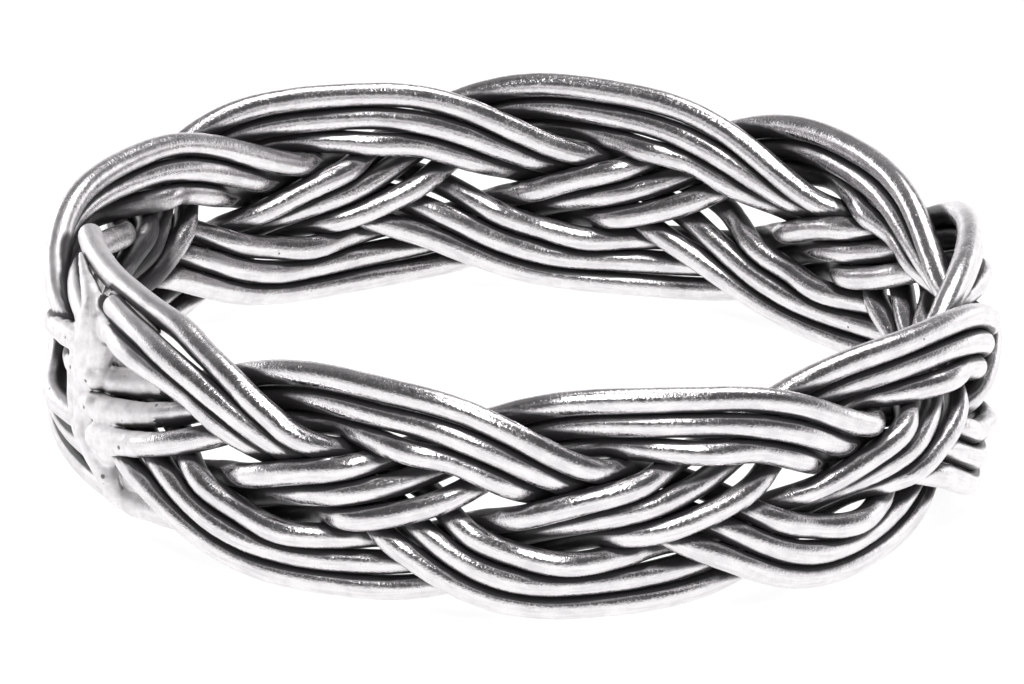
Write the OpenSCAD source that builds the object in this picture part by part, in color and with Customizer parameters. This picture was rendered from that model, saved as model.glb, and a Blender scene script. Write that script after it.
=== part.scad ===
// Braided band ring, lying on its side.
// Four strands of three round wires each are woven flat, bent into a ring and soldered end to end.

/* [Ring] */
// Clear width of the finger hole
inner_diameter = 18.1; // [15:0.1:22]
// Quarter turns of the weave round the ring
quarter_steps = 9; // [8:1:10]
// Direction of the first crossing on the upper edge, seen from above
start_angle = -129.5; // [-180:0.5:180]
// How far the upper edge of the weave runs ahead of the lower edge, in degrees round the ring
weave_lean = 5.2; // [0:0.1:8]

/* [Wires] */
// Thickness of one wire
wire_diameter = 0.43; // [0.35:0.01:0.5]
// Clear space between neighbouring wires of a strand
wire_gap = 0.12; // [0.1:0.01:0.15]

/* [Weave] */
// How far a strand's middle wire swings to each side of the band, in wire pitches
swing_pitches = 3.13; // [3.1:0.01:3.3]
// How far a strand lifts out of the band's middle layer, in wire pitches
lift_pitches = 0.84; // [0.8:0.01:0.9]

/* [Soldered seam] */
// Direction of the seam, seen from above
seam_angle = 207; // [150:0.5:250]
// Length of the seam along the ring
seam_length = 1.1; // [0.8:0.05:1.6]
// How far the upper end of the seam lies ahead of its lower end, in degrees round the ring
seam_lean = -5; // [-6:0.5:6]
// Clear space between the seam and the ends of the wires
seam_gap = 0.05; // [0.03:0.01:0.1]

/* [Hidden] */

wires_each_side = [-1, 0, 1];
wire_sides = 6;
rings_per_step = 10;
// Least distance of a wire's cut end from the next ring, in ring spacings
end_room = 0.6;

// How blunt a strand's turns at the band's edges are
turn_bluntness = 0.05;
// Small moves along the weave at which its direction is measured, in phase and in steps
phase_nudge = 1;
step_nudge = 0.05;

pitch = wire_diameter + wire_gap;
swing = swing_pitches * pitch;
lift = lift_pitches * pitch;
mid_radius = inner_diameter / 2 + lift + wire_diameter / 2;
band_width = 2 * (swing + pitch) + wire_diameter;
step_angle = 360 / quarter_steps;
ring_phase = 90 / rings_per_step;
// How far the weave leans along the ring for each millimetre across the band
lean_slope = weave_lean * PI / 180 * mid_radius / (2 * swing);
// The lean moves the crossings of the edge wires by this phase, from the middle of the band
crossing_shift = 0.63 * weave_lean;

// Height of a strand's wires above the band's middle layer as the strand crosses the band,
// in shares of the lift. One row for every 15 degrees of its swing, from upper to lower edge.
middle_wire = 0;
edge_wire = 1;
LIFTS = [
    [ 0,     0   ],
    [ 0.5,   0.35],
    [ 0.9,   0.65],
    [ 1,     0.9 ],
    [ 0.6,   1   ],
    [-0.35,  0.7 ],
    [-0.85, -0.85],
    [-0.35, -1   ],
    [ 0.6,  -0.65],
    [ 1,     0.75],
    [ 0.9,   0.8 ],
    [ 0.5,   1   ],
    [ 0,     0   ],
];
last_row = len(LIFTS) - 1;
row_phase = 180 / last_row;

// How far the hand-made weave runs ahead of even spacing, in quarter steps.
// One value for each ninth of the ring, from the first crossing on.
DRIFT = [0, -0.1, -0.15, -0.15, -0.25, -0.3, -0.35, -0.35, -0.4];

// Outline of the seam across the band: share of the half width, share of the half thickness
across_share = 0;
thick_share = 1;
SEAM_ROWS = [
    [-1,    0.34],
    [-0.94, 0.52],
    [-0.8,  0.66],
    [-0.6,  0.82],
    [-0.4,  0.96],
    [-0.2,  1   ],
    [ 0,    1   ],
    [ 0.2,  1   ],
    [ 0.4,  0.96],
    [ 0.6,  0.82],
    [ 0.8,  0.66],
    [ 0.94, 0.52],
    [ 1,    0.34],
];
// Round rise of the seam's outer and inner face, as a share of its half thickness
seam_crown = 0.1;
crown_points = 5;

// Smooth value between b and c, with a and d as the values before and after them
function smooth(a, b, c, d, t) =
    b + t / 2 * (c - a + t * (2 * a - 5 * b + 4 * c - d + t * (3 * (b - c) + d - a)));

// Lift row k, mirrored with its sign turned past either edge of the band
function lift_row(k, column) =
    k < 0 ? -LIFTS[-k][column] :
    k > last_row ? -LIFTS[2 * last_row - k][column] :
    LIFTS[k][column];

// Lift share of a strand's wire at swing phase u: side is 1 for the upper wire, -1 for the lower
function lift_share(u, side) =
    let (
        crossing = u + side * crossing_shift * abs(sin(u)),
        turn = crossing - 360 * floor((crossing + 180) / 360),
        column = side == 0 ? middle_wire : edge_wire,
        row = (side < 0 ? 180 - abs(turn) : abs(turn)) / row_phase,
        k = min(floor(row), last_row - 1)
    )
    sign(turn) * smooth(lift_row(k - 1, column), lift_row(k, column),
                        lift_row(k + 1, column), lift_row(k + 2, column), row - k);

// Drift of the weave, round and round the ring
function drift_row(k) = DRIFT[(k + len(DRIFT)) % len(DRIFT)];
function drift(step) =
    let (
        row = (step / quarter_steps - floor(step / quarter_steps)) * len(DRIFT),
        k = min(floor(row), len(DRIFT) - 1)
    )
    smooth(drift_row(k - 1), drift_row(k), drift_row(k + 1), drift_row(k + 2), row - k);

function drift_rate(step) = 1 + (drift(step + step_nudge) - drift(step - step_nudge)) / (2 * step_nudge);

// The weave's phase t counts 90 degrees to a quarter step, with the first crossing at 45
function step_at(t) = (t - 45) / 90;

// Side-to-side place of a strand, 1 at the upper edge and -1 at the lower, and its rate of change
function wave(u) = cos(u) + turn_bluntness * (cos(3 * u) - cos(5 * u));
function wave_rate(u) = -sin(u) - turn_bluntness * (3 * sin(3 * u) - 5 * sin(5 * u));

// Place of a wire across the band, with a strand's wires kept a pitch apart on its slopes
function across(strand, side, t) =
    let (
        u = t + 90 * strand,
        slope = swing * wave_rate(u) * quarter_steps / (4 * mid_radius) / drift_rate(step_at(t))
    )
    swing * wave(u) + side * pitch * norm([1 + lean_slope * slope, slope]);

// Direction of the weave's phase t, at a place across the band
function direction(t, place) =
    start_angle + (step_at(t) + drift(step_at(t))) * step_angle + weave_lean * place / (2 * swing);

function on_ring(angle, radius, place) =
    [radius * cos(angle), radius * sin(angle), place + band_width / 2];

// Point on a wire's middle line
function wire_point(strand, side, t) =
    let (place = across(strand, side, t))
    on_ring(direction(t, place), mid_radius + lift * lift_share(t + 90 * strand, side), place);

// Step from one side of phase t to the other, along the wire
function wire_step(strand, side, t) =
    wire_point(strand, side, t + phase_nudge) - wire_point(strand, side, t - phase_nudge);

// Direction of the seam's end face at a place across the band: side is 1 ahead of it, -1 behind
seam_half_angle = (seam_length / 2 + seam_gap) / mid_radius * 180 / PI;
function seam_direction(place) = seam_angle - 360 + seam_lean * place / (2 * swing);

// How far the seam's end face lies ahead of a wire's point at phase t, in degrees round the ring
function way_to_seam(strand, side, face, t) =
    let (place = across(strand, side, t))
    seam_direction(place) + face * seam_half_angle - direction(t, place);

// Phase at which a wire meets the seam, found by correcting a first guess a few times
function seam_phase(strand, side, face, t, tries = 6) =
    tries == 0 ? t :
    let (
        way = way_to_seam(strand, side, face, t),
        closing = (way - way_to_seam(strand, side, face, t + phase_nudge)) / phase_nudge
    )
    seam_phase(strand, side, face, t + way / closing, tries - 1);

// Ring of points round a wire, in a plane square to it
function wire_ring(strand, side, t) =
    let (
        centre = wire_point(strand, side, t),
        ahead = wire_step(strand, side, t),
        along = ahead / norm(ahead),
        outward = [centre.x, centre.y, 0] / norm([centre.x, centre.y]),
        up = outward - (outward * along) * along,
        normal = up / norm(up),
        sideways = cross(along, normal)
    )
    [for (k = [0:wire_sides - 1])
        let (turn = (k + 0.5) * 360 / wire_sides)
        centre + wire_diameter / 2 * (cos(turn) * normal + sin(turn) * sideways)];

// The same ring slid along the wire until it lies in the seam's end face
function cut_ring(strand, side, t) =
    let (
        centre = wire_point(strand, side, t),
        ahead = wire_step(strand, side, t),
        radius = norm([centre.x, centre.y]),
        face_slope = seam_lean / (2 * swing) * PI / 180 * mid_radius,
        face_normal = [-centre.y / radius, centre.x / radius, -face_slope]
    )
    [for (p = wire_ring(strand, side, t))
        p - ahead * ((p - centre) * face_normal) / (ahead * face_normal)];

// Closed solid through a row of equal rings
module skin(rings) {
    sides = len(rings[0]);
    last = len(rings) - 1;
    walls = [for (r = [0:last - 1], k = [0:sides - 1])
        let (
            a = r * sides + k,
            b = r * sides + (k + 1) % sides
        )
        each [[a, a + sides, b], [b, a + sides, b + sides]]];
    start_face = [for (k = [0:sides - 1]) k];
    end_face = [for (k = [sides - 1:-1:0]) last * sides + k];
    polyhedron(points = [for (ring = rings) each ring], faces = concat(walls, [start_face, end_face]));
}

// One wire, from the seam round the ring to the seam again
module wire(strand, side) {
    guess = 45 + (seam_angle - 360 - start_angle) / step_angle * 90;
    first = seam_phase(strand, side, 1, guess);
    last = seam_phase(strand + quarter_steps, side, -1, guess) + 90 * quarter_steps;
    first_ring = ceil(first / ring_phase + end_room);
    last_ring = floor(last / ring_phase - end_room);
    skin([
        cut_ring(strand, side, first),
        for (k = [first_ring:last_ring]) wire_ring(strand, side, k * ring_phase),
        cut_ring(strand, side, last)
    ]);
}

// The wires of one strand, side by side
module strand(number) {
    for (side = wires_each_side) wire(number, side);
}

// Section of the seam along the ring and through its thickness: [along, out]
function seam_section(half_thickness) =
    let (
        rise = half_thickness * seam_crown,
        last = crown_points - 1,
        outer = [for (k = [0:last])
            [seam_length * (k / last - 0.5), half_thickness - rise + rise * sin(180 * k / last)]]
    )
    concat(outer, [for (k = [last:-1:0]) [outer[k][0], -outer[k][1]]]);

module strand_1() {
    color("silver") strand(0);
}

module strand_2() {
    color("darkgray") strand(1);
}

module strand_3() {
    color("lightgray") strand(2);
}

module strand_4() {
    color("gray") strand(3);
}

// Solder and the fused wire ends across the whole band
module solder_seam() {
    color("gainsboro")
    skin([for (row = SEAM_ROWS)
        let (place = row[across_share] * band_width / 2)
        [for (p = seam_section(row[thick_share] * (lift + wire_diameter / 2)))
            on_ring(seam_direction(place) + p[0] / mid_radius * 180 / PI, mid_radius + p[1], place)]]);
}

strand_1();
strand_2();
strand_3();
strand_4();
solder_seam();
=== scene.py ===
import bpy
import math
from mathutils import Matrix, Vector


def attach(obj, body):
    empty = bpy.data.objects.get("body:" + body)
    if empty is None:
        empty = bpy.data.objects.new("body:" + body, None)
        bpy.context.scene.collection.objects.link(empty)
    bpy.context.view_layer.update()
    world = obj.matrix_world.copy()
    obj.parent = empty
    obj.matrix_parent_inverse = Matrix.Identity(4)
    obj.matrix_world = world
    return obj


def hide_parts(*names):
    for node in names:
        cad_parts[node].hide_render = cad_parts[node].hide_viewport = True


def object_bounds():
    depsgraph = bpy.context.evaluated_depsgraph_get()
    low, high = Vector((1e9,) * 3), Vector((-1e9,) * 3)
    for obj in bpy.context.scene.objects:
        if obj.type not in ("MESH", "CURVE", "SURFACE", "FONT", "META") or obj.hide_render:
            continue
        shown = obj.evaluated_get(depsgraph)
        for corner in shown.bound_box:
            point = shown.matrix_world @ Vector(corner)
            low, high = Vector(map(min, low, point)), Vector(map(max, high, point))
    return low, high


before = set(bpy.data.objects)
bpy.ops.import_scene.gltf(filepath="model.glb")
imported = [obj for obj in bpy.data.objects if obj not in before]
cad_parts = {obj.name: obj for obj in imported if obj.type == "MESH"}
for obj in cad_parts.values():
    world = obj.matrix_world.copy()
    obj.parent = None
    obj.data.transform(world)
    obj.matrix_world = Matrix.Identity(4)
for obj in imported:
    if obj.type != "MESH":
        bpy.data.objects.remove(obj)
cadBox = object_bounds()
scene = bpy.context.scene
mm = 0.001
print("frame loaded, box", cadBox)

# Camera at the photo's angle: a long lens from the front, a little above the ring
camera = {
    "lensMm": 361.65,
    "sensorMm": 36,
    "distance": 0.22467,
    "elevation": 21.32,  # degrees above the floor
    "roll": 2.29,  # degrees, the ring's left side stands higher
    "target": (-0.0002126, 0.0, 0.002329),
    "clip": (0.01, 10),
}


def makeCamera():
    tilt = math.radians(camera["elevation"])
    roll = math.radians(camera["roll"])
    right = Vector((1, 0, 0))
    up = Vector((0, math.sin(tilt), math.cos(tilt)))
    back = Vector((0, -math.cos(tilt), math.sin(tilt)))
    turnedRight = right * math.cos(roll) + up * math.sin(roll)
    turnedUp = up * math.cos(roll) - right * math.sin(roll)
    data = bpy.data.cameras.new("photoCamera")
    data.lens = camera["lensMm"]
    data.sensor_width = camera["sensorMm"]
    data.clip_start, data.clip_end = camera["clip"]
    eye = bpy.data.objects.new("photoCamera", data)
    scene.collection.objects.link(eye)
    place = Matrix((turnedRight, turnedUp, back)).transposed().to_4x4()
    place.translation = Vector(camera["target"]) + back * camera["distance"]
    eye.matrix_world = place
    scene.camera = eye


makeCamera()
print("camera placed")

# The weave, in millimetres and degrees, on the same paths as the solids
weave = {
    "innerDiameter": 18.1,
    "quarterSteps": 9,  # quarter turns of the weave round the ring
    "startAngle": -129.5,  # direction of the first crossing on the upper edge
    "lean": 5.2,  # degrees that the upper edge runs ahead of the lower
    "wireCore": 0.43,  # thickness of the solids' wires
    "wireGap": 0.12,
    "liftPitches": 0.84,
    "bluntness": 0.05,
    "crossingShift": 0.63,
    "phaseStep": 2,  # phase from one point of a wire's path to the next
    "nudge": 0.05,  # small move at which the weave's pace is measured, in quarter steps
    # How far the weave runs ahead of even spacing, one value for each ninth of the ring
    "drift": (0, -0.1, -0.15, -0.15, -0.25, -0.3, -0.35, -0.35, -0.4),
    # Lift of a strand's wires as it crosses the band, one value for each 15 degrees
    "middleLift": (0, 0.5, 0.9, 1, 0.6, -0.35, -0.85, -0.35, 0.6, 1, 0.9, 0.5, 0),
    "edgeLift": (0, 0.35, 0.65, 0.9, 1, 0.7, -0.85, -1, -0.65, 0.75, 0.8, 1, 0),
}
seam = {
    "angle": 207,
    "lean": -5,  # degrees that its upper end lies ahead of its lower end
    "length": 1.1,
    "endShare": 0.15,  # share of its length by which the wires' ends stay off its middle
    # The joined ends don't meet evenly. Each row: strand, end, shift up, spread of its wires,
    # shift out, spread out, and the degrees of weave phase over which they run back to the weave
    "bends": (
        (0, "start", 0.3, -0.12, 0, 0, 70),
        (3, "start", -0.38, 0, 0, 0, 50),
        (2, "end", 0.33, 0.1, -0.02, 0.05, 80),
        (3, "end", -0.9, 0, 0.2, 0.1, 85),
    ),
    "lapWire": (0, 1),  # strand and side of the top wire, which laps past the seam
    # Where it runs there. Each row: direction, radius, height from the band's middle
    "lap": (
        (181.9, 9.48, 2.13), (186.2, 9.45, 2.17), (191, 9.42, 2.2), (197.4, 9.4, 2.24),
        (204, 9.4, 2.28), (210.4, 9.42, 2.31), (214.8, 9.45, 2.3), (219, 9.5, 2.29),
        (222, 9.57, 2.24), (226, 9.71, 2.09), (230, 9.87, 1.95), (233, 9.99, 1.8),
        (236, 10.09, 1.58), (239.5, 10.15, 1.3),
    ),
    "lapEnd": 241,  # direction at which it is back in the weave
}
bandWidth = (cadBox[1][2] - cadBox[0][2]) / mm
pitch = weave["wireCore"] + weave["wireGap"]
swing = (bandWidth - weave["wireCore"]) / 2 - pitch
lift = weave["liftPitches"] * pitch
midRadius = weave["innerDiameter"] / 2 + lift + weave["wireCore"] / 2
stepAngle = 360 / weave["quarterSteps"]
leanSlope = math.radians(weave["lean"]) * midRadius / (2 * swing)
wireOrder = [(strand, side) for strand in range(4) for side in (-1, 0, 1)]


# Smooth value between b and c, with a and d as the values before and after them
def smoothValue(a, b, c, d, t):
    return b + t / 2 * (c - a + t * (2 * a - 5 * b + 4 * c - d + t * (3 * (b - c) + d - a)))


# Lift in row k, mirrored with its sign turned past either edge of the band
def liftRow(table, k):
    last = len(table) - 1
    if k < 0:
        return -table[-k]
    if k > last:
        return -table[2 * last - k]
    return table[k]


# Lift share of a strand's wire at swing phase u: side is 1 for the upper wire, -1 for the lower
def liftShare(u, side):
    table = weave["edgeLift"] if side else weave["middleLift"]
    last = len(table) - 1
    ahead = side * weave["crossingShift"] * weave["lean"]
    crossing = u + ahead * abs(math.sin(math.radians(u)))
    turn = (crossing + 180) % 360 - 180
    row = (180 - abs(turn) if side < 0 else abs(turn)) * last / 180
    k = min(int(row), last - 1)
    share = smoothValue(*(liftRow(table, k + step) for step in (-1, 0, 1, 2)), row - k)
    return math.copysign(share, share * turn) if turn else 0


def driftAt(step):
    table = weave["drift"]
    row = step / weave["quarterSteps"] % 1 * len(table)
    k = int(row)
    return smoothValue(*(table[(k + n) % len(table)] for n in (-1, 0, 1, 2)), row - k)


# Side-to-side place of a strand, 1 at the upper edge and -1 at the lower, and its rate of change
def waveAt(u):
    a = math.radians(u)
    return math.cos(a) + weave["bluntness"] * (math.cos(3 * a) - math.cos(5 * a))


def waveRate(u):
    a = math.radians(u)
    return -math.sin(a) - weave["bluntness"] * (3 * math.sin(3 * a) - 5 * math.sin(5 * a))


# The weave's phase t counts 90 degrees to a quarter step, with the first crossing at 45
def stepAt(t):
    return (t - 45) / 90


def directionAt(t, across):
    step = stepAt(t)
    leaned = weave["lean"] * across / (2 * swing)
    return weave["startAngle"] + (step + driftAt(step)) * stepAngle + leaned


# Place of a wire across the band, with a strand's wires kept a pitch apart on its slopes
def acrossAt(strand, side, t):
    u = t + 90 * strand
    step, nudge = stepAt(t), weave["nudge"]
    pace = 1 + (driftAt(step + nudge) - driftAt(step - nudge)) / (2 * nudge)
    slope = swing * waveRate(u) * weave["quarterSteps"] / (4 * midRadius) / pace
    return swing * waveAt(u) + side * pitch * math.hypot(1 + leanSlope * slope, slope)


# Point in metres, from a direction in degrees and a radius and height in millimetres
def onRing(angle, radius, across):
    a = math.radians(angle)
    place = Vector((radius * math.cos(a), radius * math.sin(a), across + bandWidth / 2))
    return place * mm


def seamDirection(across):
    return seam["angle"] - 360 + seam["lean"] * across / (2 * swing)


# How far a place by the seam lies ahead of a wire's point at phase t, in degrees round the ring.
# The place is a reach ahead of the seam's middle, in millimetres along the ring.
def wayToSeam(strand, side, reach, t):
    across = acrossAt(strand, side, t)
    return seamDirection(across) + math.degrees(reach / midRadius) - directionAt(t, across)


# Phase at which a wire meets that place, found by correcting a first guess a few times
def seamPhase(strand, side, reach):
    t = 45 + (seam["angle"] - 360 - weave["startAngle"]) / stepAngle * 90
    for attempt in range(8):
        way = wayToSeam(strand, side, reach, t)
        t += way / (way - wayToSeam(strand, side, reach, t + 1))
    return t


# Shift across the band and outward of a wire's point, where the ends at the seam are bent
def seamBend(strand, side, fromStart, fromEnd):
    shift, push = 0, 0
    for bentStrand, end, up, spread, out, spreadOut, fade in seam["bends"]:
        away = fromStart if end == "start" else fromEnd
        if bentStrand == strand and away < fade:
            share = 0.5 + 0.5 * math.cos(math.pi * away / fade)
            shift += share * (up + side * spread)
            push += share * (out + side * spreadOut)
    return shift, push


# Points of one wire's path, in metres. Its ends lie inside the solder, but for the lapped one.
def wirePath(strand, side):
    inside = seam["length"] * seam["endShare"]
    first = seamPhase(strand, side, inside)
    last = seamPhase(strand + weave["quarterSteps"], side, -inside) + 90 * weave["quarterSteps"]
    count = round((last - first) / weave["phaseStep"])
    lapped = (strand, side) == seam["lapWire"]
    points = [onRing(*row) for row in seam["lap"]] if lapped else []
    for k in range(count + 1):
        t = first + (last - first) * k / count
        across = acrossAt(strand, side, t)
        radius = midRadius + lift * liftShare(t + 90 * strand, side)
        direction = directionAt(t, across)
        shift, push = seamBend(strand, side, t - first, last - t)
        if not lapped or direction > seam["lapEnd"] - 360:
            points.append(onRing(direction, radius + push, across + shift))
    return points


# Adds every wire's path to lists of points and edges, and returns each point's wire number
def addPaths(points, edges):
    numbers = []
    for number, (strand, side) in enumerate(wireOrder):
        start = len(points)
        points += wirePath(strand, side)
        edges += [(k, k + 1) for k in range(start, len(points) - 1)]
        numbers += [float(number)] * (len(points) - start)
    return numbers


# Small helpers for node trees
def addNode(tree, kind, inputs=(), **settings):
    node = tree.nodes.new(kind)
    for name, value in settings.items():
        setattr(node, name, value)
    for key, value in dict(inputs).items():
        if isinstance(value, bpy.types.NodeSocket):
            tree.links.new(value, node.inputs[key])
        else:
            node.inputs[key].default_value = value
    return node


def addMath(tree, operation, a, b=0.0, c=0.0):
    return addNode(tree, "ShaderNodeMath", {0: a, 1: b, 2: c}, operation=operation).outputs[0]


def addVectorMath(tree, operation, a, b=(0, 0, 0)):
    second = "Scale" if operation == "SCALE" else 1
    node = addNode(tree, "ShaderNodeVectorMath", {0: a, second: b}, operation=operation)
    return node.outputs["Value" if operation in ("DOT_PRODUCT", "LENGTH") else "Vector"]


# Runs smoothly from the start to the end while a value runs from low to high
def addStep(tree, value, low, high, start=0.0, end=1.0):
    return addNode(tree, "ShaderNodeMapRange", {
        "Value": value, "From Min": low, "From Max": high, "To Min": start, "To Max": end,
    }, interpolation_type="SMOOTHSTEP").outputs[0]


def readAttribute(tree, name):
    node = addNode(tree, "GeometryNodeInputNamedAttribute", {"Name": name}, data_type="FLOAT")
    return node.outputs[0]


def storeAttribute(tree, geometry, name, value, kind="FLOAT"):
    return addNode(tree, "GeometryNodeStoreNamedAttribute", {
        "Geometry": geometry, "Name": name, "Value": value,
    }, data_type=kind, domain="POINT").outputs[0]


# Noise keeps to about a quarter on either side of its middle, and this brings it to full height
noiseGain = 4.0


# Moves a surface in and out by noise, up to a height
def addRelief(tree, geometry, noise, height):
    normal = tree.nodes.new("GeometryNodeInputNormal").outputs[0]
    rise = addMath(tree, "MULTIPLY", addMath(tree, "SUBTRACT", noise, 0.5),
                   addMath(tree, "MULTIPLY", height, noiseGain))
    return addNode(tree, "GeometryNodeSetPosition", {
        "Geometry": geometry, "Offset": addVectorMath(tree, "SCALE", normal, rise),
    }).outputs[0]


# Openness: how far the nearest wire is from a point held off the surface, as a share of the
# reach by which it is held off. It is stored for the near and the far reach.
def storeOpenness(tree, geometry, lines, given):
    spot = tree.nodes.new("GeometryNodeInputPosition").outputs[0]
    normal = tree.nodes.new("GeometryNodeInputNormal").outputs[0]
    halfWire = addMath(tree, "MULTIPLY", given["Wire Diameter"], 0.5)
    for name, words in (("openNear", "Near Reach"), ("openFar", "Far Reach")):
        offset = addVectorMath(tree, "SCALE", normal, given[words])
        nearest = addNode(tree, "GeometryNodeProximity", {
            "Geometry": lines, "Sample Position": addVectorMath(tree, "ADD", spot, offset),
        }, target_element="EDGES")
        free = addMath(tree, "SUBTRACT", nearest.outputs["Distance"], halfWire)
        share = addNode(tree, "ShaderNodeMath", {0: free, 1: given[words]},
                        operation="DIVIDE", use_clamp=True)
        geometry = storeAttribute(tree, geometry, name, share.outputs[0])
    return geometry


# A node group with named inputs and outputs, and the sockets at which the inputs arrive
def newTree(name, kind, inputs, outputs):
    tree = bpy.data.node_groups.new(name, kind)
    for way, sockets in (("INPUT", inputs), ("OUTPUT", outputs)):
        for words, socket in sockets:
            tree.interface.new_socket(words, in_out=way, socket_type="NodeSocket" + socket)
    return tree, tree.nodes.new("NodeGroupInput").outputs


def newShapeTree(name, inputs):
    shape = ("Geometry", "Geometry")
    tree, given = newTree(name, "GeometryNodeTree", (shape,) + inputs, (shape,))
    tree.is_modifier = True
    return tree, given


# The last nodes of a shape's tree: smooth shading, real geometry and its material
def endShapeTree(tree, geometry, material):
    rounded = addNode(tree, "GeometryNodeSetShadeSmooth", {"Geometry": geometry})
    real = addNode(tree, "GeometryNodeRealizeInstances", {"Geometry": rounded.outputs[0]})
    finished = addNode(tree, "GeometryNodeSetMaterial", {
        "Geometry": real.outputs[0], "Material": material,
    })
    out = tree.nodes.new("NodeGroupOutput")
    tree.links.new(finished.outputs[0], out.inputs[0])


# Puts a tree with its values on an object, and returns the result as a plain mesh
def shapedMesh(source, tree, values):
    modifier = source.modifiers.new("shape", "NODES")
    modifier.node_group = tree
    for item in tree.interface.items_tree:
        if item.item_type == "SOCKET" and item.in_out == "INPUT" and item.name in values:
            modifier[item.identifier] = values[item.name]
    seen = source.evaluated_get(bpy.context.evaluated_depsgraph_get())
    mesh = bpy.data.meshes.new_from_object(seen)
    source.modifiers.remove(modifier)
    return mesh


# Round wires along the weave's paths. The tree takes all the paths, sweeps them,
# measures how open each place is, and keeps one strand.
wires = {
    "diameter": 0.54 * mm,
    "sides": 20,
    "rings": 1000,
    "wobble": 0.014 * mm,  # small bends of the hand-made weave
    "wobbleSize": 3.0 * mm,
    "unevenness": 0.03,  # change of thickness along a wire, as a share
    "dentDepth": 0.006 * mm,
    "dentSize": 0.5 * mm,
    "reachNear": 0.14 * mm,  # distances at which the openness is measured
    "reachFar": 0.45 * mm,
    "dullSpot": 197,  # the soldering dulled the wires round this direction
    "dullWithin": 2.0 * mm,  # wholly dull up to this distance, and no more from the next on
    "dullFade": 5.6 * mm,
    "paintedShadeSpot": (157, 9.3, 0.0),  # direction, radius and height of the painted shade spot on the band's inside
    "paintedShadeWithin": 0.8 * mm,
    "paintedShadeFade": 2.2 * mm,
    "seed": 4.0,
    "seedStep": 7.3,  # gives each wire its own bends
    "patternGap": 0.01,  # metres from one wire's pattern to the next
    "tip": 0.02,  # leaves a little of a round end's radius for the flat tip
}


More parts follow.
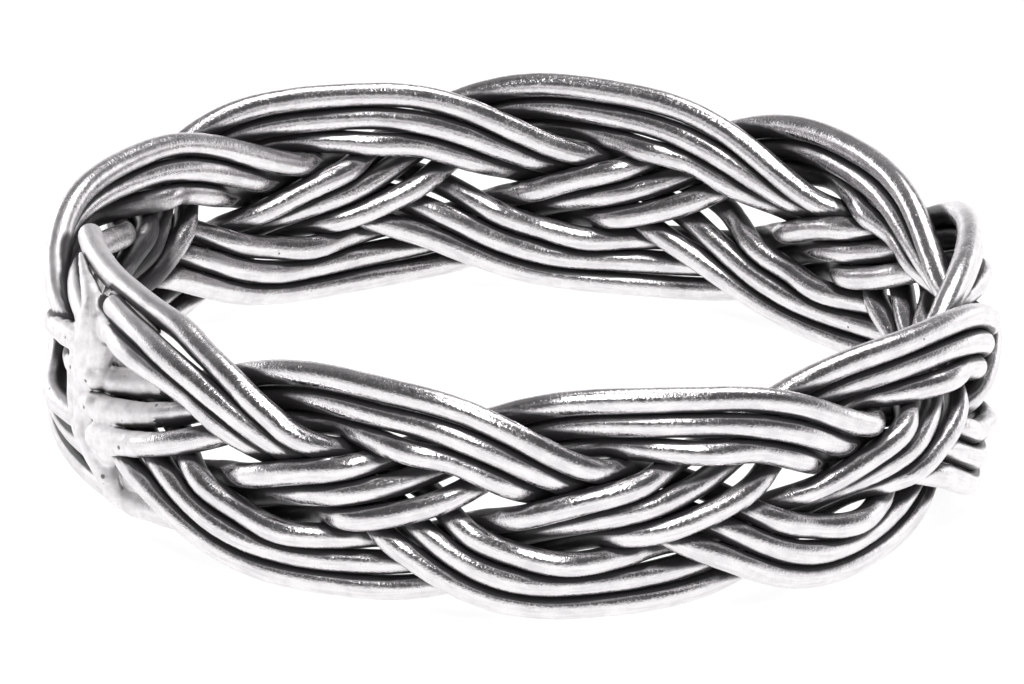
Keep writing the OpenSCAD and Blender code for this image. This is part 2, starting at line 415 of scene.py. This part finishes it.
def wireTree():
    tree, given = newShapeTree("sweepWires", (
        ("Wire Diameter", "Float"), ("Sides", "Int"), ("Rings", "Int"),
        ("Wobble", "Float"), ("Wobble Size", "Float"), ("Unevenness", "Float"),
        ("Dent Depth", "Float"), ("Dent Size", "Float"),
        ("Near Reach", "Float"), ("Far Reach", "Float"), ("Seed", "Float"),
        ("Dull Spot", "Vector"), ("Dull Within", "Float"), ("Dull Fade", "Float"),
        ("Painted Shade Spot", "Vector"), ("Painted Shade Within", "Float"), ("Painted Shade Fade", "Float"),
        ("Strand", "Int"), ("Material", "Material"),
    ))
    wireNumber = readAttribute(tree, "wireNumber")
    spot = tree.nodes.new("GeometryNodeInputPosition").outputs[0]
    halfWire = addMath(tree, "MULTIPLY", given["Wire Diameter"], 0.5)

    # Smooth paths with the small bends of a hand-made weave
    paths = addNode(tree, "GeometryNodeMeshToCurve", {"Mesh": given["Geometry"]})
    smoothPaths = addNode(tree, "GeometryNodeCurveSplineType", {
        "Curve": paths.outputs[0],
    }, spline_type="CATMULL_ROM")
    rows = addNode(tree, "GeometryNodeResampleCurve", {
        "Curve": smoothPaths.outputs[0], "Count": given["Rings"],
    })
    bends = addNode(tree, "ShaderNodeTexNoise", {
        "Vector": spot, "Scale": addMath(tree, "DIVIDE", 1.0, given["Wobble Size"]), "Detail": 1.0,
        "W": addMath(tree, "MULTIPLY_ADD", wireNumber, wires["seedStep"], given["Seed"]),
    }, noise_dimensions="4D").outputs
    shift = addVectorMath(tree, "SUBTRACT", bends["Color"], (0.5, 0.5, 0.5))
    shift = addVectorMath(tree, "SCALE", shift, addMath(tree, "MULTIPLY", given["Wobble"], noiseGain))
    bent = addNode(tree, "GeometryNodeSetPosition", {
        "Geometry": rows.outputs[0], "Offset": shift,
    }).outputs[0]
    change = addMath(tree, "MULTIPLY", addMath(tree, "SUBTRACT", bends["Fac"], 0.5), noiseGain)
    thickness = addMath(tree, "MULTIPLY_ADD", change, given["Unevenness"], 1.0)
    radius = addMath(tree, "MULTIPLY", halfWire, thickness)

    # Round ends
    onSpline = tree.nodes.new("GeometryNodeSplineParameter").outputs
    whole = tree.nodes.new("GeometryNodeSplineLength").outputs["Length"]
    fromEnd = addMath(tree, "MINIMUM", onSpline["Length"],
                      addMath(tree, "SUBTRACT", whole, onSpline["Length"]))
    gone = addMath(tree, "MINIMUM", addMath(tree, "DIVIDE", fromEnd, radius), 1.0)
    inCap = addMath(tree, "SUBTRACT", 1.0, gone)
    capShare = addMath(tree, "SQRT", addMath(tree, "SUBTRACT", 1 + wires["tip"],
                                             addMath(tree, "MULTIPLY", inCap, inCap)))
    radius = addMath(tree, "MULTIPLY", radius, capShare)

    # The sweep, which keeps each point's place along and round its wire
    circle = addNode(tree, "GeometryNodeCurvePrimitiveCircle", {
        "Resolution": given["Sides"], "Radius": 1.0,
    })
    swept = addNode(tree, "GeometryNodeCurveToMesh", {
        "Curve": storeAttribute(tree, bent, "along", onSpline["Length"]),
        "Profile Curve": storeAttribute(tree, circle.outputs[0], "round", onSpline["Factor"]),
        "Scale": radius, "Fill Caps": True,
    })
    turn = addMath(tree, "MULTIPLY", readAttribute(tree, "round"), 2 * math.pi)
    ownPlace = addMath(tree, "MULTIPLY", wireNumber, wires["patternGap"])
    straight = addNode(tree, "ShaderNodeCombineXYZ", {
        0: readAttribute(tree, "along"),
        1: addMath(tree, "MULTIPLY", addMath(tree, "COSINE", turn), halfWire),
        2: addMath(tree, "MULTIPLY_ADD", addMath(tree, "SINE", turn), halfWire, ownPlace),
    }).outputs[0]
    shape = storeAttribute(tree, swept.outputs[0], "wirePlace", straight, "FLOAT_VECTOR")
    lines = addNode(tree, "GeometryNodeCurveToMesh", {"Curve": bent}).outputs[0]
    shape = storeOpenness(tree, shape, lines, given)

    # Where the soldering dulled the metal, and a painted shade spot on the inward faces of the band by the
    # seam
    normal = tree.nodes.new("GeometryNodeInputNormal").outputs[0]
    level = (1, 1, 0)
    radial = addVectorMath(tree, "NORMALIZE", addVectorMath(tree, "MULTIPLY", spot, level))
    outward = addVectorMath(tree, "DOT_PRODUCT", normal, radial)
    # Painted shade: the spot only darkens faces that turn inward, where the band's inside lies in shade
    facesIn = addStep(tree, outward, -0.5, 0.0, 1.0, 0.0)
    for name, words, mask in (("dull", "Dull", 1.0), ("paintedShade", "Painted Shade", facesIn)):
        away = addVectorMath(tree, "SUBTRACT", spot, given[words + " Spot"])
        if name == "dull":
            away = addVectorMath(tree, "MULTIPLY", away, level)
        share = addStep(tree, addVectorMath(tree, "LENGTH", away),
                        given[words + " Within"], given[words + " Fade"], 1.0, 0.0)
        shape = storeAttribute(tree, shape, name, addMath(tree, "MULTIPLY", share, mask))

    dents = addNode(tree, "ShaderNodeTexNoise", {
        "Vector": straight, "W": given["Seed"], "Detail": 2.0,
        "Scale": addMath(tree, "DIVIDE", 1.0, given["Dent Size"]),
    }, noise_dimensions="4D")
    shape = addRelief(tree, shape, dents.outputs["Fac"], given["Dent Depth"])

    # Three wires to a strand. The half keeps the rounding safe.
    strandOf = addMath(tree, "DIVIDE", addMath(tree, "ADD", wireNumber, 0.5), 3.0)
    ownStrand = addNode(tree, "FunctionNodeCompare", {
        "A": addMath(tree, "FLOOR", strandOf), "B": given["Strand"],
    }, data_type="FLOAT", operation="EQUAL")
    kept = addNode(tree, "GeometryNodeSeparateGeometry", {
        "Geometry": shape, "Selection": ownStrand.outputs[0],
    }, domain="POINT")
    endShapeTree(tree, kept.outputs[0], given["Material"])
    return tree


def makeStrands(material):
    points, edges = [], []
    numbers = addPaths(points, edges)
    mesh = bpy.data.meshes.new("wirePaths")
    mesh.from_pydata(points, edges, [])
    mesh.attributes.new("wireNumber", "FLOAT", "POINT").data.foreach_set("value", numbers)
    paths = bpy.data.objects.new("wirePaths", mesh)
    scene.collection.objects.link(paths)
    tree = wireTree()
    values = {
        "Wire Diameter": wires["diameter"], "Sides": wires["sides"], "Rings": wires["rings"],
        "Wobble": wires["wobble"], "Wobble Size": wires["wobbleSize"],
        "Unevenness": wires["unevenness"], "Seed": wires["seed"],
        "Dent Depth": wires["dentDepth"], "Dent Size": wires["dentSize"],
        "Near Reach": wires["reachNear"], "Far Reach": wires["reachFar"],
        "Dull Spot": onRing(wires["dullSpot"], midRadius, 0),
        "Dull Within": wires["dullWithin"], "Dull Fade": wires["dullFade"],
        "Painted Shade Spot": onRing(*wires["paintedShadeSpot"]),
        "Painted Shade Within": wires["paintedShadeWithin"], "Painted Shade Fade": wires["paintedShadeFade"],
        "Material": material,
    }
    strands = []
    for number in range(4):
        shaped = shapedMesh(paths, tree, values | {"Strand": number})
        piece = bpy.data.objects.new(f"strand{number + 1}Wires", shaped)
        scene.collection.objects.link(piece)
        strands.append(piece)
    bpy.data.objects.remove(paths)
    return strands


# How the looks that all the metal shares are mixed
metalMix = {
    "farShare": 0.7,  # part of the openness that the far reach decides
    "streakShare": 0.6,  # how much the streaks add to the patches' unrest
    "dullLeast": 0.6,  # dullness without the patches, and how much they add
    "dullPatches": 0.6,
    "paintedShadeShare": 0.58,  # part of the openness that the painted shade spot takes away, which darkens it
    "pitSoot": 0.8,  # how dark the pits are
    "toneLow": 0.36,  # the worn colour turns to the bright one between these
    "toneHigh": 0.6,
    "grainShare": 0.6,  # the grain's part of the roughness. The patches have the rest.
    "roughLow": 0.36,  # the roughness runs from least to most between these
    "roughHigh": 0.64,
    "sootRough": 0.15,  # how much rougher the blackening is
}


# Looks of the metal, shared by the wires and the solder: bright where the hand reaches it,
# dark where the blackening stayed and at a painted shade spot, with drawn streaks, fine grain and a few
# pits
def patinaGroup():
    tree, given = newTree("patina", "ShaderNodeTree", (
        ("Place", "Vector"), ("Near", "Float"), ("Far", "Float"), ("Dull", "Float"),
        ("Dull Rough", "Float"), ("Dull Soot", "Float"), ("Painted Shade", "Float"),
        ("Bright", "Color"), ("Worn", "Color"), ("Dark", "Color"),
        ("Streak Stretch", "Float"), ("Streak Scale", "Float"),
        ("Patch Scale", "Float"), ("Patchiness", "Float"), ("Grain Scale", "Float"),
        ("Pit Scale", "Float"), ("Pit Share", "Float"), ("Dark From", "Float"),
        ("Dark To", "Float"), ("Least Rough", "Float"), ("Most Rough", "Float"),
        ("Streak Height", "Float"), ("Grain Height", "Float"), ("Pit Depth", "Float"),
    ), (("Colour", "Color"), ("Metal", "Float"), ("Rough", "Float"), ("Height", "Float")))
    patches = addNode(tree, "ShaderNodeTexNoise", {
        "Vector": given["Place"], "Scale": given["Patch Scale"], "Detail": 5.0, "Roughness": 0.62,
    }).outputs["Fac"]
    stretch = addNode(tree, "ShaderNodeCombineXYZ", {0: given["Streak Stretch"], 1: 1.0, 2: 1.0})
    drawn = addVectorMath(tree, "MULTIPLY", given["Place"], stretch.outputs[0])
    streaks = addNode(tree, "ShaderNodeTexNoise", {
        "Vector": drawn, "Scale": given["Streak Scale"], "Detail": 4.0, "Roughness": 0.6,
    }).outputs["Fac"]
    grain = addNode(tree, "ShaderNodeTexNoise", {
        "Vector": given["Place"], "Scale": given["Grain Scale"], "Detail": 2.0, "Roughness": 0.6,
    }).outputs["Fac"]
    cells = addNode(tree, "ShaderNodeTexVoronoi", {
        "Vector": given["Place"], "Scale": given["Pit Scale"],
    })
    chance = addNode(tree, "ShaderNodeSeparateXYZ", {0: cells.outputs["Color"]}).outputs[0]
    size = addMath(tree, "MULTIPLY", chance, given["Pit Share"])
    pits = addStep(tree, cells.outputs["Distance"],
                   addMath(tree, "MULTIPLY", size, 0.5), size, 1.0, 0.0)

    # Openness with patches on it says how much of the blackening is left; the painted shade spot lowers it
    farPart = addMath(tree, "MULTIPLY_ADD", given["Far"], metalMix["farShare"], 1 - metalMix["farShare"])
    openness = addMath(tree, "MULTIPLY", given["Near"], farPart)
    unrest = addMath(tree, "MULTIPLY", addMath(tree, "SUBTRACT", patches, 0.5), given["Patchiness"])
    streaky = addMath(tree, "MULTIPLY", given["Patchiness"], metalMix["streakShare"])
    unrest = addMath(tree, "MULTIPLY_ADD", addMath(tree, "SUBTRACT", streaks, 0.5), streaky, unrest)
    dull = addMath(tree, "MULTIPLY_ADD", patches, metalMix["dullPatches"], metalMix["dullLeast"])
    dull = addMath(tree, "MULTIPLY", given["Dull"], dull)
    # Painted shade: the openness drops in the shade spot, so the metal turns dark there
    openLeft = addMath(tree, "MULTIPLY_ADD", given["Painted Shade"], -metalMix["paintedShadeShare"], 1.0)
    openness = addMath(tree, "MULTIPLY", openness, openLeft)
    openness = addMath(tree, "SUBTRACT", openness, addMath(tree, "MULTIPLY", dull, given["Dull Soot"]))
    worn = addStep(tree, addMath(tree, "ADD", openness, unrest), given["Dark From"], given["Dark To"])
    clean = addMath(tree, "MULTIPLY", worn, addMath(tree, "MULTIPLY_ADD", pits, -metalMix["pitSoot"], 1.0))

    # Colour and roughness
    mean = addMath(tree, "MULTIPLY_ADD", patches, 0.5, addMath(tree, "MULTIPLY", streaks, 0.5))
    tone = addStep(tree, mean, metalMix["toneLow"], metalMix["toneHigh"])
    bare = addNode(tree, "ShaderNodeMix", {
        "Factor": tone, 6: given["Worn"], 7: given["Bright"],
    }, data_type="RGBA").outputs[2]
    colour = addNode(tree, "ShaderNodeMix", {
        "Factor": clean, 6: given["Dark"], 7: bare,
    }, data_type="RGBA").outputs[2]
    patchPart = addMath(tree, "MULTIPLY", patches, 1 - metalMix["grainShare"])
    rough = addNode(tree, "ShaderNodeMapRange", {
        "Value": addMath(tree, "MULTIPLY_ADD", grain, metalMix["grainShare"], patchPart),
        "From Min": metalMix["roughLow"], "From Max": metalMix["roughHigh"],
        "To Min": given["Least Rough"], "To Max": given["Most Rough"],
    }).outputs[0]
    soot = addMath(tree, "MULTIPLY_ADD", clean, -metalMix["sootRough"], metalMix["sootRough"])
    rough = addMath(tree, "ADD", rough, soot)
    rougher = addMath(tree, "SUBTRACT", given["Dull Rough"], rough)
    rough = addMath(tree, "MULTIPLY_ADD", dull, rougher, rough)

    height = addMath(tree, "MULTIPLY", streaks, given["Streak Height"])
    height = addMath(tree, "MULTIPLY_ADD", grain, given["Grain Height"], height)
    height = addMath(tree, "SUBTRACT", height, addMath(tree, "MULTIPLY", pits, given["Pit Depth"]))
    out = tree.nodes.new("NodeGroupOutput")
    for name, value in (("Colour", colour), ("Metal", clean), ("Rough", rough), ("Height", height)):
        tree.links.new(value, out.inputs[name])
    return tree


# A material with the shared looks. The group's heights are in millimetres.
def makeMetal(name, place, values):
    material = bpy.data.materials.new(name)
    material.use_nodes = True
    tree = material.node_tree
    shader = tree.nodes["Principled BSDF"]
    group = addNode(tree, "ShaderNodeGroup", node_tree=patina)
    if place:
        where = addNode(tree, "ShaderNodeAttribute", attribute_name=place).outputs["Vector"]
    else:
        where = tree.nodes.new("ShaderNodeTexCoord").outputs["Object"]
    tree.links.new(where, group.inputs["Place"])
    for key, attribute in (
        ("Near", "openNear"), ("Far", "openFar"), ("Dull", "dull"), ("Painted Shade", "paintedShade"),
    ):
        measured = addNode(tree, "ShaderNodeAttribute", attribute_name=attribute)
        tree.links.new(measured.outputs["Fac"], group.inputs[key])
    for key, value in values.items():
        group.inputs[key].default_value = value
    tree.links.new(group.outputs["Colour"], shader.inputs["Base Color"])
    tree.links.new(group.outputs["Metal"], shader.inputs["Metallic"])
    tree.links.new(group.outputs["Rough"], shader.inputs["Roughness"])
    bump = addNode(tree, "ShaderNodeBump", {
        "Height": group.outputs["Height"], "Strength": 1.0, "Distance": mm,
    })
    tree.links.new(bump.outputs[0], shader.inputs["Normal"])
    return material


patina = patinaGroup()
wireLooks = {
    "Bright": (0.88, 0.86, 0.87, 1),
    "Worn": (0.72, 0.7, 0.715, 1),
    "Dark": (0.042, 0.039, 0.042, 1),
    "Streak Stretch": 0.1,
    "Streak Scale": 12000.0,
    "Patch Scale": 2200.0,
    "Patchiness": 0.3,
    "Grain Scale": 17000.0,
    "Pit Scale": 1800.0,
    "Pit Share": 0.08,
    "Dark From": 0.4,
    "Dark To": 0.82,
    "Least Rough": 0.13,
    "Most Rough": 0.3,
    "Dull Rough": 0.45,
    "Dull Soot": 0.18,  # how much wider the dark grooves are there
    "Streak Height": 0.0025,
    "Grain Height": 0.008,
    "Pit Depth": 0.012,
}
wireMaterial = makeMetal("oxidisedSilverWire", "wirePlace", wireLooks)
strands = makeStrands(wireMaterial)
for number, piece in enumerate(strands):
    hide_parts(f"strand_{number + 1}")
    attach(piece, "root")
print("wires made:", [len(piece.data.polygons) for piece in strands])

# Solder over the wires' ends: rows of balls along each end and up the joint, fused by the tree
solder = {
    "voxel": 0.032 * mm,
    "spacing": 0.06 * mm,  # most distance from one ball of a row to the next
    "stubLength": 1.1 * mm,  # how far it runs along each wire
    "stubThick": 0.34 * mm,  # its radius round a wire at the joint, and where it ends
    "stubThin": 0.25 * mm,
    "stubTaper": 1.3,  # the higher, the longer it stays thick
    "coatStrand": 3,  # the starts of this strand's wires are coated further along
    "coatLength": 3.2 * mm,
    "lumpEnds": ((2, -1), (2, 0), (2, 1), (1, 1)),  # strand and side of ends with long lumps
    "lumpReach": 1.7 * mm,
    "lumpThin": 0.3 * mm,
    "bareStarts": ((0, 0), (0, 1)),  # strand and side of starts that show, without solder
    "smoothing": 12,
    "lumpHeight": 0.012 * mm,
    "lumpSize": 0.5 * mm,
    # Runs of solder: direction, radius on the ring, height from the band's middle, thickness
    "runs": (
        # The upper point, and the ridge from it down to the lower edge
        (
            (190.4, 9.75, 2.17, 0.09), (194.2, 9.8, 2.14, 0.13), (197.5, 9.85, 2.06, 0.18),
            (200.7, 9.92, 2.0, 0.24), (203, 10, 1.85, 0.27), (203.8, 10.05, 1.63, 0.3),
            (204, 10.1, 1.29, 0.31), (203.7, 10.12, 0.9, 0.32), (203.2, 10.12, 0.5, 0.32),
            (203.3, 10.13, 0.09, 0.31), (203.4, 10.13, -0.31, 0.31), (203.6, 10.12, -0.72, 0.31),
            (204.5, 10.1, -1.04, 0.33), (206.1, 10.05, -1.3, 0.35), (207.6, 10, -1.58, 0.31),
            (208.8, 9.95, -1.83, 0.27), (209.5, 9.9, -2.1, 0.2),
        ),
        # The web to its right
        (
            (203.4, 9.9, 1.9, 0.24), (205.3, 9.95, 1.52, 0.28), (206.2, 10, 1.12, 0.31),
            (205.3, 10.02, 0.61, 0.31), (204.6, 10.03, 0.08, 0.28), (204.7, 10.03, -0.35, 0.28),
            (205.4, 10, -0.77, 0.31), (207.2, 9.98, -1.05, 0.34), (208.9, 9.92, -1.19, 0.31),
        ),
        # The swelling to its left
        (
            (202, 10.08, 1.1, 0.24), (201.3, 10.14, 0.7, 0.27), (200.8, 10.16, 0.2, 0.27),
            (200.8, 10.16, -0.3, 0.27), (201.3, 10.14, -0.8, 0.27), (203, 10.1, -1.2, 0.27),
        ),
        # The thin point under the lapped wire's end, and the web under that wire
        (
            (188, 9.7, 1.99, 0.08), (192.6, 9.62, 2.1, 0.08), (196.6, 9.56, 2.18, 0.08),
            (200.5, 9.52, 2.23, 0.1), (203.6, 9.55, 2.2, 0.14),
        ),
        ((205, 9.62, 2.1, 0.18), (210, 9.64, 2.08, 0.2), (214, 9.67, 2.06, 0.19), (217, 9.7, 2.03, 0.12)),
        # The inner side
        (
            (203, 9.65, 1.8, 0.2), (204, 9.62, 1.2, 0.26), (204, 9.62, 0.5, 0.28),
            (204, 9.62, -0.3, 0.28), (205, 9.62, -1, 0.28), (207.5, 9.62, -1.6, 0.28),
            (209, 9.65, -2.05, 0.2),
        ),
    ),
}


# Balls from row to row, close enough to fuse: each row is a place and a ball's radius
def ballRow(rows):
    balls = []
    for (a, r), (b, q) in zip(rows, rows[1:]):
        count = max(1, math.ceil((b - a).length / solder["spacing"]))
        balls += [(a.lerp(b, k / count), r + (q - r) * k / count) for k in range(count)]
    return balls + [rows[-1]]


# Balls along a wire from its end, up to a reach, and thinner towards it
def stubBalls(points, reach, thin):
    thick = solder["stubThick"]
    rows, gone = [(points[0], thick)], 0
    for a, b in zip(points, points[1:]):
        gone += (b - a).length
        if gone > reach:
            break
        rows.append((b, thick + (gone / reach) ** solder["stubTaper"] * (thin - thick)))
    return ballRow(rows)


def solderBalls():
    balls = []
    for strand, side in wireOrder:
        path = wirePath(strand, side)
        if (strand, side) not in solder["bareStarts"]:
            coated = strand == solder["coatStrand"]
            reach = solder["coatLength" if coated else "stubLength"]
            balls += stubBalls(path, reach, solder["stubThin"])
        if (strand, side) in solder["lumpEnds"]:
            balls += stubBalls(path[::-1], solder["lumpReach"], solder["lumpThin"])
        else:
            balls += stubBalls(path[::-1], solder["stubLength"], solder["stubThin"])
    for run in solder["runs"]:
        balls += ballRow([(onRing(direction, radius, across), thick * mm)
                          for direction, radius, across, thick in run])
    return balls


def solderTree():
    tree, given = newShapeTree("fuseSolder", (
        ("Voxel", "Float"), ("Smoothing", "Int"), ("Lump Height", "Float"), ("Lump Size", "Float"),
        ("Wire Diameter", "Float"), ("Near Reach", "Float"), ("Far Reach", "Float"),
        ("Material", "Material"),
    ))
    size = readAttribute(tree, "ballSize")
    isBall = addNode(tree, "FunctionNodeCompare", {
        "A": size, "B": 0.0,
    }, data_type="FLOAT", operation="GREATER_THAN")
    points = addNode(tree, "GeometryNodeMeshToPoints", {
        "Mesh": given["Geometry"], "Selection": isBall.outputs[0], "Radius": size,
    })
    cloud = addNode(tree, "GeometryNodePointsToVolume", {
        "Points": points.outputs[0], "Radius": size, "Voxel Size": given["Voxel"],
    }, resolution_mode="VOXEL_SIZE")
    skin = addNode(tree, "GeometryNodeVolumeToMesh", {"Volume": cloud.outputs[0], "Threshold": 0.5})
    spot = tree.nodes.new("GeometryNodeInputPosition").outputs[0]
    blurred = addNode(tree, "GeometryNodeBlurAttribute", {
        "Value": spot, "Iterations": given["Smoothing"], "Weight": 0.7,
    }, data_type="FLOAT_VECTOR")
    soft = addNode(tree, "GeometryNodeSetPosition", {
        "Geometry": skin.outputs[0], "Position": blurred.outputs[0],
    })
    lumps = addNode(tree, "ShaderNodeTexNoise", {
        "Vector": spot, "Detail": 2.0, "Scale": addMath(tree, "DIVIDE", 1.0, given["Lump Size"]),
    })
    shape = addRelief(tree, soft.outputs[0], lumps.outputs["Fac"], given["Lump Height"])
    paths = addNode(tree, "GeometryNodeMeshToCurve", {"Mesh": given["Geometry"]})
    lines = addNode(tree, "GeometryNodeCurveToMesh", {"Curve": paths.outputs[0]}).outputs[0]
    shape = storeOpenness(tree, shape, lines, given)
    endShapeTree(tree, shape, given["Material"])
    return tree


# The source has a point for each ball, and the wires' paths to measure the openness from
def makeSolder(material):
    balls = solderBalls()
    points, edges = [ball[0] for ball in balls], []
    sizes = [ball[1] for ball in balls] + [0.0] * len(addPaths(points, edges))
    mesh = bpy.data.meshes.new("solderBalls")
    mesh.from_pydata(points, edges, [])
    mesh.attributes.new("ballSize", "FLOAT", "POINT").data.foreach_set("value", sizes)
    source = bpy.data.objects.new("solderBalls", mesh)
    scene.collection.objects.link(source)
    fused = shapedMesh(source, solderTree(), {
        "Voxel": solder["voxel"], "Smoothing": solder["smoothing"],
        "Lump Height": solder["lumpHeight"], "Lump Size": solder["lumpSize"],
        "Wire Diameter": wires["diameter"], "Near Reach": wires["reachNear"],
        "Far Reach": wires["reachFar"], "Material": material,
    })
    piece = bpy.data.objects.new("solderSeam", fused)
    scene.collection.objects.link(piece)
    bpy.data.objects.remove(source)
    return piece


solderLooks = {
    "Bright": (0.96, 0.945, 0.955, 1),
    "Worn": (0.8, 0.785, 0.79, 1),
    "Dark": (0.05, 0.048, 0.045, 1),
    "Streak Stretch": 1.0,
    "Streak Scale": 5000.0,
    "Patch Scale": 2600.0,
    "Patchiness": 0.35,
    "Grain Scale": 15000.0,
    "Pit Scale": 2600.0,
    "Pit Share": 0.16,
    "Dark From": 0.05,
    "Dark To": 0.55,
    "Least Rough": 0.5,
    "Most Rough": 0.68,
    "Streak Height": 0.012,
    "Grain Height": 0.006,
    "Pit Depth": 0.03,
}
solderPiece = makeSolder(makeMetal("solder", "", solderLooks))
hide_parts("solder_seam")
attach(solderPiece, "root")
print("solder made:", len(solderPiece.data.polygons))

# Floor and light
studio = {
    "floorSize": 3.0,
    "floorShade": 0.3,
    "floorRough": 0.9,
    "floorGlow": 0.88,
    "skyColour": (1, 0.985, 1, 1),
    "skyGlow": 0.85,  # brightness near the horizon, and the heights between which it fades
    "skyLow": 0.1,
    "skyHigh": 0.42,
    "skyDark": 0.08,
    "skyBehind": 0.14,  # added behind the ring, and where it begins and is full
    "behindFrom": -0.05,
    "behindTo": 0.6,
    "lampDistance": 0.4,
}
# Soft lamps that face the ring's middle: direction and tilt in degrees, size in metres
lamps = {
    "frontLamp": {"azimuth": -89, "tilt": 66, "power": 0.9, "width": 0.1, "height": 0.26},
    "backLamp": {"azimuth": 60, "tilt": 62, "power": 0.5, "width": 0.22, "height": 0.22},
    "leftLamp": {"azimuth": 140, "tilt": 14, "power": 0.24, "width": 0.25, "height": 0.1},
    "rightLamp": {"azimuth": 40, "tilt": 14, "power": 0.06, "width": 0.25, "height": 0.1},
}


def makeFloor():
    half = studio["floorSize"] / 2
    lowest = min(v.co.z for piece in strands for v in piece.data.vertices)
    corners = ((-half, -half), (half, -half), (half, half), (-half, half))
    mesh = bpy.data.meshes.new("studioFloor")
    mesh.from_pydata([(x, y, lowest) for x, y in corners], [], [(0, 1, 2, 3)])
    floor = bpy.data.objects.new("studioFloor", mesh)
    scene.collection.objects.link(floor)
    material = bpy.data.materials.new("paleFloor")
    material.use_nodes = True
    shader = material.node_tree.nodes["Principled BSDF"]
    shader.inputs["Base Color"].default_value = (studio["floorShade"],) * 3 + (1,)
    shader.inputs["Roughness"].default_value = studio["floorRough"]
    shader.inputs["Specular IOR Level"].default_value = 0.0
    shader.inputs["Emission Color"].default_value = (1, 1, 1, 1)
    shader.inputs["Emission Strength"].default_value = studio["floorGlow"]
    mesh.materials.append(material)


def makeLamp(name, values):
    a = math.radians(values["azimuth"])
    e = math.radians(values["tilt"])
    toLamp = Vector((math.cos(a) * math.cos(e), math.sin(a) * math.cos(e), math.sin(e)))
    where = toLamp * studio["lampDistance"]
    data = bpy.data.lights.new(name, "AREA")
    data.shape = "RECTANGLE"
    data.size = values["width"]
    data.size_y = values["height"]
    data.energy = values["power"]
    lamp = bpy.data.objects.new(name, data)
    scene.collection.objects.link(lamp)
    turn = where.to_track_quat("Z", "Y").to_matrix().to_4x4()
    lamp.matrix_world = Matrix.Translation(where) @ turn


def makeWorld():
    world = bpy.data.worlds.new("studioWorld")
    world.use_nodes = True
    tree = world.node_tree
    tree.nodes.clear()
    way = tree.nodes.new("ShaderNodeTexCoord").outputs["Generated"]
    parts = addNode(tree, "ShaderNodeSeparateXYZ", {0: way}).outputs
    low = addStep(tree, parts[2], studio["skyLow"], studio["skyHigh"], 1.0, 0.0)
    behind = addStep(tree, parts[1], studio["behindFrom"], studio["behindTo"],
                     0.0, studio["skyBehind"])
    least = addMath(tree, "ADD", behind, studio["skyDark"])
    glow = addMath(tree, "MULTIPLY_ADD", low, studio["skyGlow"], least)
    sky = addNode(tree, "ShaderNodeBackground", {"Color": studio["skyColour"], "Strength": glow})
    out = tree.nodes.new("ShaderNodeOutputWorld")
    tree.links.new(sky.outputs[0], out.inputs[0])
    scene.world = world


makeFloor()
makeWorld()
for name, values in lamps.items():
    makeLamp(name, values)
scene.view_settings.view_transform = "Standard"
print("floor and light made")
